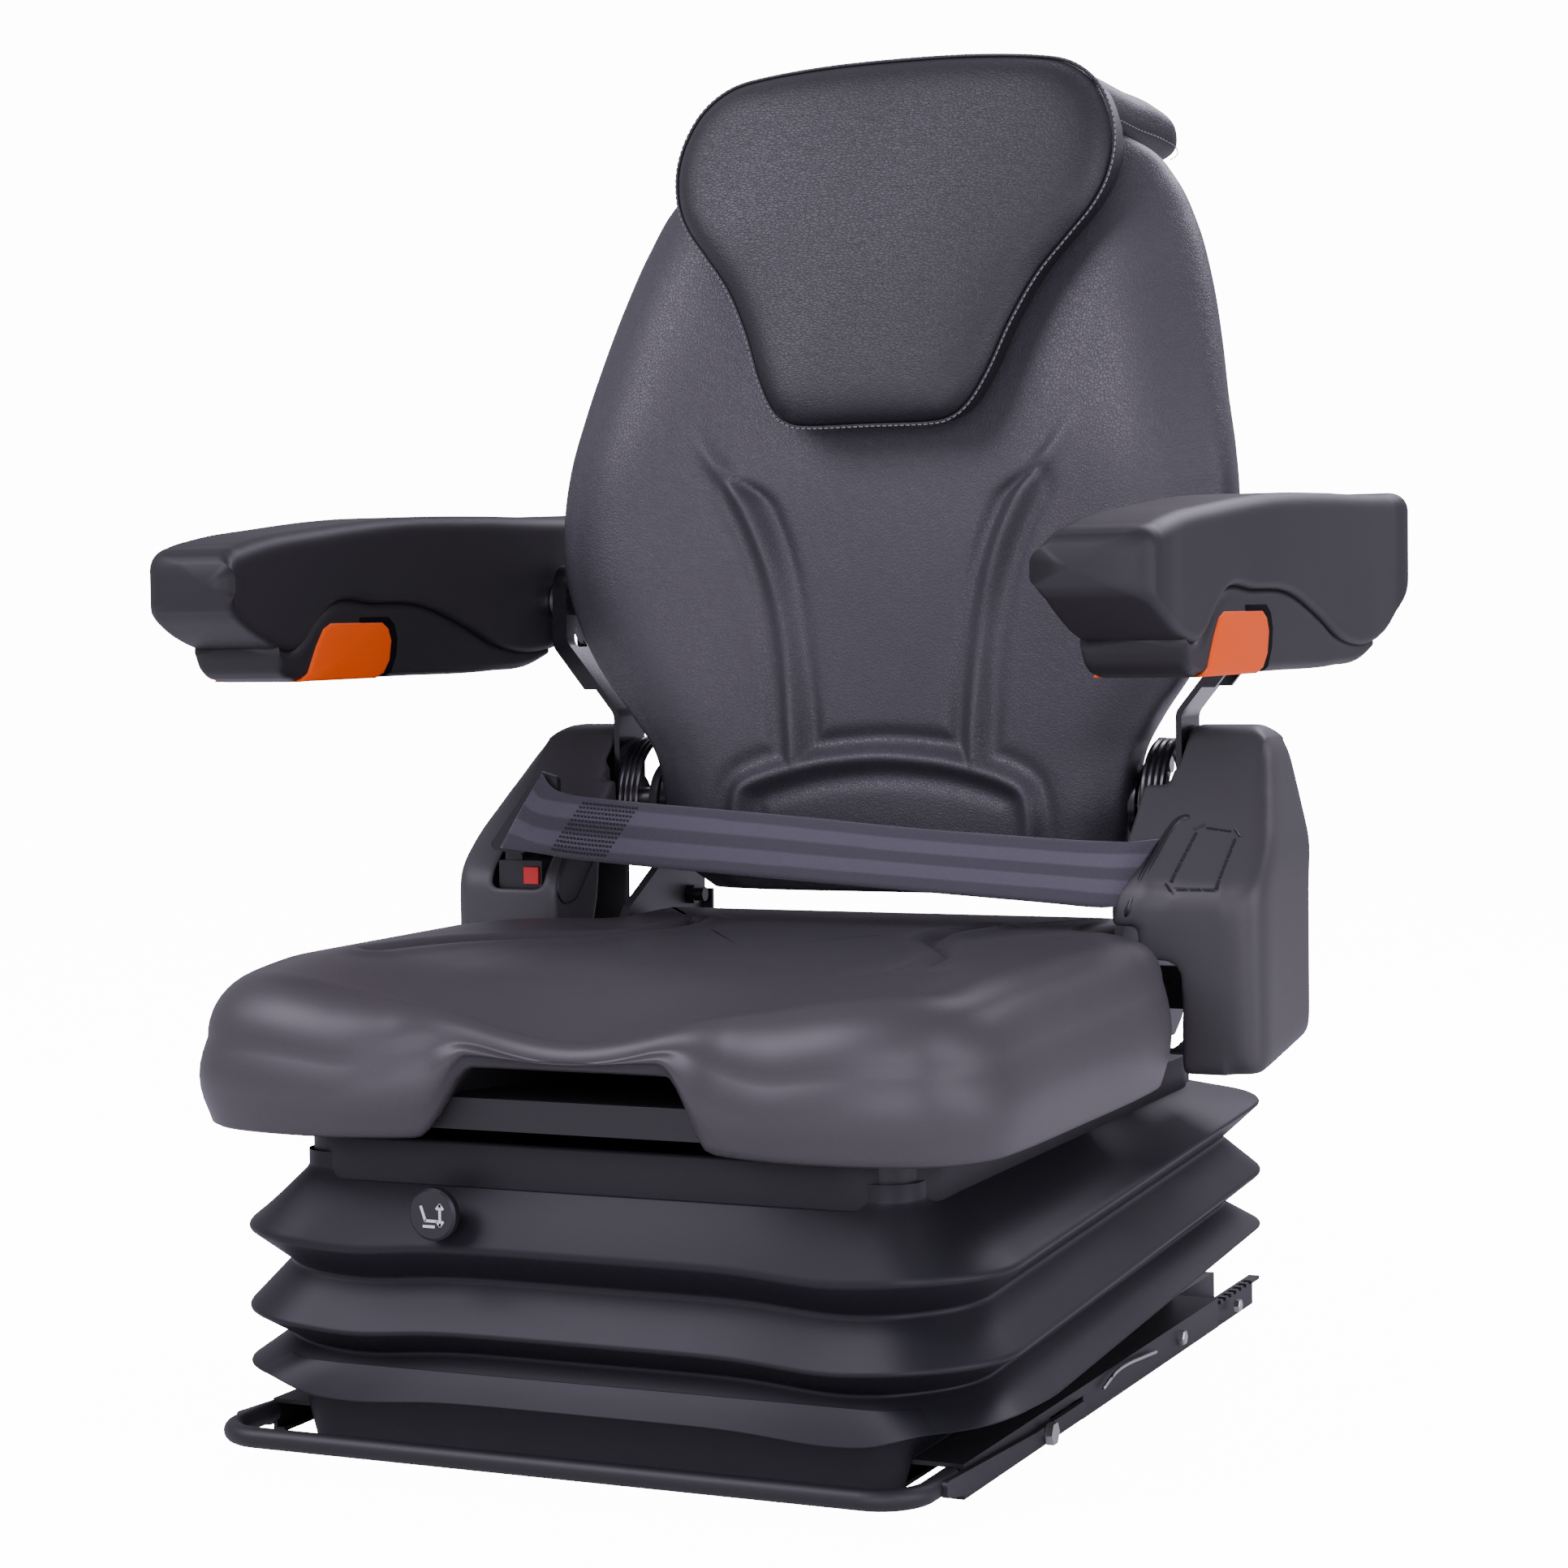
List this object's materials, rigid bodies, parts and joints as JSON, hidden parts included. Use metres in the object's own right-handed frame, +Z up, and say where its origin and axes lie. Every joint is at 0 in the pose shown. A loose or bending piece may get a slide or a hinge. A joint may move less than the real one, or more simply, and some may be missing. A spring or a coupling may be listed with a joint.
{
  "type": "ride on mower seat",
  "caption": "Suspension operator seat with bellows, slide rails, release bar, reclining back, head pad, folding armrests and lap belt.",
  "frame": {"origin": "centre of the floor bolt pattern, on the underside of the lower slide rails", "axes": "+Z up, -Y towards the seat's front, +X to the right when looking at the front"},
  "size_m": [0.6744, 0.6775, 0.8588],
  "materials": {
    "vinyl": "fine-grained matt vinyl over foam",
    "bellows_rubber": "smooth matt rubber",
    "black_steel": "gloss black paint",
    "zinc_steel": "bright zinc plate",
    "grey_plastic": "fine-textured moulded plastic",
    "black_plastic": "satin moulded plastic",
    "armrest_foam": "skinned integral foam",
    "orange_plastic": "gloss",
    "red_plastic": "gloss",
    "webbing": "woven polyester"
  },
  "bodies": {
    "base": {"rail_lower_left": "black_steel", "rail_lower_right": "black_steel"},
    "carriage": {"rail_upper_left": "black_steel", "rail_upper_right": "black_steel", "rail_glides": "black_plastic", "handle_pivot_bolts": "zinc_steel", "lower_tray": "black_steel", "tray_bolts": "zinc_steel", "air_spring": "bellows_rubber", "air_compressor": "black_plastic", "bellows": "bellows_rubber", "damper_pin_lower": "zinc_steel"},
    "handle": {"slide_handle": "black_steel"},
    "suspended_seat": {"top_frame": "black_steel", "height_valve": "black_plastic", "seat_pan": "black_steel", "pan_runners": "black_steel", "seat_cushion": "vinyl", "recline_plate_left": "black_steel", "recline_plate_right": "black_steel", "recline_stops": "zinc_steel", "recline_spring_left": "black_steel", "recline_spring_right": "black_steel", "side_cover_left": "grey_plastic", "side_cover_right": "grey_plastic", "cover_bracket_left": "black_steel", "cover_bracket_right": "black_steel", "belt_webbing": "webbing", "belt_retractor": "black_plastic", "belt_tongue": "black_plastic", "belt_buckle": "black_plastic", "damper_pin_upper": "zinc_steel", "recline_lever_pin": "zinc_steel"},
    "scissor_inner": {"scissor_arm_inner": "black_steel", "scissor_middle_pins": "zinc_steel"},
    "scissor_outer": {"scissor_arm_outer": "black_steel"},
    "upper_rollers": {"upper_rollers": "black_plastic"},
    "lower_rollers": {"lower_rollers": "black_plastic"},
    "damper_tube": {"damper_tube": "black_steel"},
    "damper_rod": {"damper_rod": "zinc_steel"},
    "backrest": {"back_cushion": "vinyl", "back_shell": "grey_plastic", "head_pad": "vinyl", "hinge_arm_left": "black_steel", "hinge_arm_right": "black_steel", "hinge_screws": "zinc_steel", "recline_shafts": "zinc_steel", "armrest_bracket_left": "black_steel", "armrest_bracket_right": "black_steel", "armrest_pivot_left": "zinc_steel", "armrest_pivot_right": "zinc_steel"},
    "armrest_left": {"armrest_pad_left": "armrest_foam", "armrest_shell_left": "black_plastic"},
    "armrest_right": {"armrest_pad_right": "armrest_foam", "armrest_shell_right": "black_plastic"},
    "slider_left": {"armrest_slider_left": "orange_plastic"},
    "slider_right": {"armrest_slider_right": "orange_plastic"},
    "height_button": {"height_button": "black_plastic"},
    "buckle_button": {"buckle_button": "red_plastic"},
    "recline_lever": {"recline_lever": "black_plastic"}
  },
  "joints": [
    {"name": "seat_slide", "type": "slide", "parent": "base", "child": "carriage", "axis": [0, 1, 0], "range_m": [-0.05, 0.07]},
    {"name": "handle_lift", "type": "hinge", "parent": "carriage", "child": "handle", "pos_m": [0, -0.12, 0.0145], "axis": [-1, 0, 0], "range_deg": [0, 7], "stiffness_Nm_per_rad": 3, "springref_deg": -11.46},
    {"name": "suspension_travel", "type": "slide", "parent": "carriage", "child": "suspended_seat", "axis": [0, 0, 1], "range_m": [-0.07, 0], "stiffness_N_per_m": 6000, "springref_m": 0.12, "deforming": ["bellows", "air_spring"]},
    {"name": "scissor_inner_swing", "type": "hinge", "parent": "carriage", "child": "scissor_inner", "pos_m": [0, 0.15, 0.045], "axis": [1, 0, 0], "range_deg": [-1, 14]},
    {"name": "scissor_outer_swing", "type": "hinge", "parent": "suspended_seat", "child": "scissor_outer", "pos_m": [0, 0.15, 0.167], "axis": [1, 0, 0], "range_deg": [-14, 1]},
    {"name": "upper_roller_spin", "type": "hinge", "parent": "scissor_inner", "child": "upper_rollers", "pos_m": [0, -0.15, 0.167], "axis": [1, 0, 0], "continuous": true},
    {"name": "lower_roller_spin", "type": "hinge", "parent": "scissor_outer", "child": "lower_rollers", "pos_m": [0, -0.15, 0.045], "axis": [1, 0, 0], "continuous": true},
    {"name": "damper_tube_swing", "type": "hinge", "parent": "carriage", "child": "damper_tube", "pos_m": [0.095, -0.09, 0.048], "axis": [1, 0, 0], "range_deg": [-18, 1]},
    {"name": "damper_rod_swing", "type": "hinge", "parent": "suspended_seat", "child": "damper_rod", "pos_m": [0.095, 0.112, 0.1625], "axis": [1, 0, 0], "range_deg": [-18, 1]},
    {"name": "height_button_press", "type": "slide", "parent": "suspended_seat", "child": "height_button", "axis": [0, 1, 0], "range_m": [0, 0.003], "stiffness_N_per_m": 600, "springref_m": -0.003},
    {"name": "recline", "type": "hinge", "parent": "suspended_seat", "child": "backrest", "pos_m": [0, 0.222, 0.352], "axis": [1, 0, 0], "range_deg": [-20, 8]},
    {"name": "recline_lever_pull", "type": "hinge", "parent": "suspended_seat", "child": "recline_lever", "pos_m": [-0.225, 0.14, 0.232], "axis": [-1, 0, 0], "range_deg": [0, 18], "stiffness_Nm_per_rad": 1.5, "springref_deg": -17.19},
    {"name": "armrest_left_fold", "type": "hinge", "parent": "backrest", "child": "armrest_left", "pos_m": [-0.297, 0.212, 0.494], "axis": [-1, 0, 0], "range_deg": [0, 92]},
    {"name": "armrest_right_fold", "type": "hinge", "parent": "backrest", "child": "armrest_right", "pos_m": [0.297, 0.212, 0.494], "axis": [-1, 0, 0], "range_deg": [0, 92]},
    {"name": "armrest_left_slider", "type": "slide", "parent": "armrest_left", "child": "slider_left", "axis": [0, 1, 0], "range_m": [0, 0.006], "stiffness_N_per_m": 300, "springref_m": -0.012},
    {"name": "armrest_right_slider", "type": "slide", "parent": "armrest_right", "child": "slider_right", "axis": [0, 1, 0], "range_m": [0, 0.006], "stiffness_N_per_m": 300, "springref_m": -0.012},
    {"name": "buckle_button_press", "type": "slide", "parent": "suspended_seat", "child": "buckle_button", "axis": [0, 1, 0], "range_m": [0, 0.003], "stiffness_N_per_m": 400, "springref_m": -0.002}
  ],
  "couplings": [
    {"joint": "scissor_inner_swing", "follows": "suspension_travel", "rad_per_m": -3.2309},
    {"joint": "scissor_outer_swing", "follows": "suspension_travel", "rad_per_m": 3.2309},
    {"joint": "damper_tube_swing", "follows": "suspension_travel", "rad_per_m": 4.1864},
    {"joint": "damper_rod_swing", "follows": "suspension_travel", "rad_per_m": 4.1864}
  ]
}
